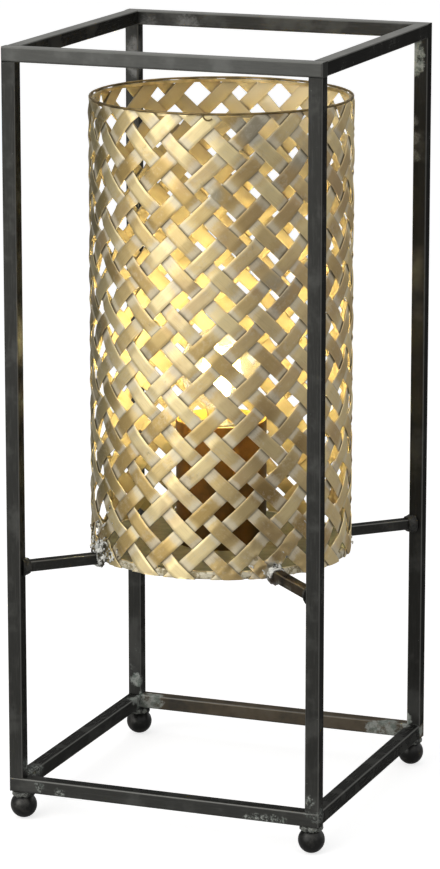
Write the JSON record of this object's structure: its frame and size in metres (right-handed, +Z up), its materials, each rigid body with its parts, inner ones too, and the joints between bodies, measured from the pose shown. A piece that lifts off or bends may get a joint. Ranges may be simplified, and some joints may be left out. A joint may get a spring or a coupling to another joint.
{
  "type": "lantern table lamp",
  "caption": "Table lamp: open square-bar lantern frame on ball feet around a tall drum shade woven from flat brass strips, with a small screw-in lamp in a metal cup.",
  "frame": {"origin": "on the floor plane, under the middle of the frame", "axes": "+Z up along the shade's axis; -Y is the front, +X the right side"},
  "size_m": [0.1826, 0.1826, 0.4255],
  "materials": {
    "blackened_steel": "blackened square bar, waxed, lighter on its edges",
    "ball_steel": "dark satin steel balls",
    "braze": "rough silver-grey braze",
    "woven_brass": "satin antique brass with grey patina",
    "hoop_brass": "satin brass",
    "dark_wire": "oxidised brass wire",
    "plate_brass": "dull brown brass",
    "cup_copper": "brown patinated copper",
    "bright_brass": "plain brass",
    "zinc_steel": "zinc plated",
    "black_plastic": "black moulded thermoset",
    "white_ceramic": "unglazed white ceramic",
    "clear_glass": "clear glass",
    "cap_metal": "bright screw cap",
    "black_glass": "black glass insulator",
    "solder": "dull solder",
    "lead_wire": "nickel wire",
    "filament": "lit filament"
  },
  "bodies": {
    "lantern": {"post_front_left": "blackened_steel", "post_front_right": "blackened_steel", "post_back_left": "blackened_steel", "post_back_right": "blackened_steel", "bottom_rail_front": "blackened_steel", "bottom_rail_back": "blackened_steel", "bottom_rail_left": "blackened_steel", "bottom_rail_right": "blackened_steel", "top_rail_front": "blackened_steel", "top_rail_back": "blackened_steel", "top_rail_left": "blackened_steel", "top_rail_right": "blackened_steel", "arm_front_left": "blackened_steel", "arm_front_right": "blackened_steel", "arm_back_left": "blackened_steel", "arm_back_right": "blackened_steel", "ball_foot_front_left": "ball_steel", "ball_foot_front_right": "ball_steel", "ball_foot_back_left": "ball_steel", "ball_foot_back_right": "ball_steel", "foot_welds": "braze", "arm_welds": "braze", "shade_solder": "braze", "weave_rising": "woven_brass", "weave_falling": "woven_brass", "top_hoop": "hoop_brass", "bottom_hoop": "hoop_brass", "rim_wire": "dark_wire", "rim_tie": "dark_wire", "base_plate": "plate_brass", "holder_cup": "cup_copper", "threaded_tube": "bright_brass", "tube_washer": "zinc_steel", "tube_nut": "zinc_steel", "spacer_sleeve": "bright_brass", "cord_grip": "black_plastic", "holder_cap": "black_plastic", "holder_body": "black_plastic", "contact_block": "white_ceramic", "screw_shell": "bright_brass", "centre_contact": "bright_brass", "terminal_screws": "zinc_steel"},
    "screw_in_lamp": {"lamp_glass": "clear_glass", "lamp_cap": "cap_metal", "lamp_insulator": "black_glass", "lamp_contact": "solder", "lamp_stem": "clear_glass", "lamp_wires": "lead_wire", "lamp_filaments": "filament"}
  },
  "joints": [
    {"name": "lamp_lift", "type": "slide", "parent": "lantern", "child": "screw_in_lamp", "axis": [0, 0, 1], "range_m": [0, 0.25]}
  ]
}
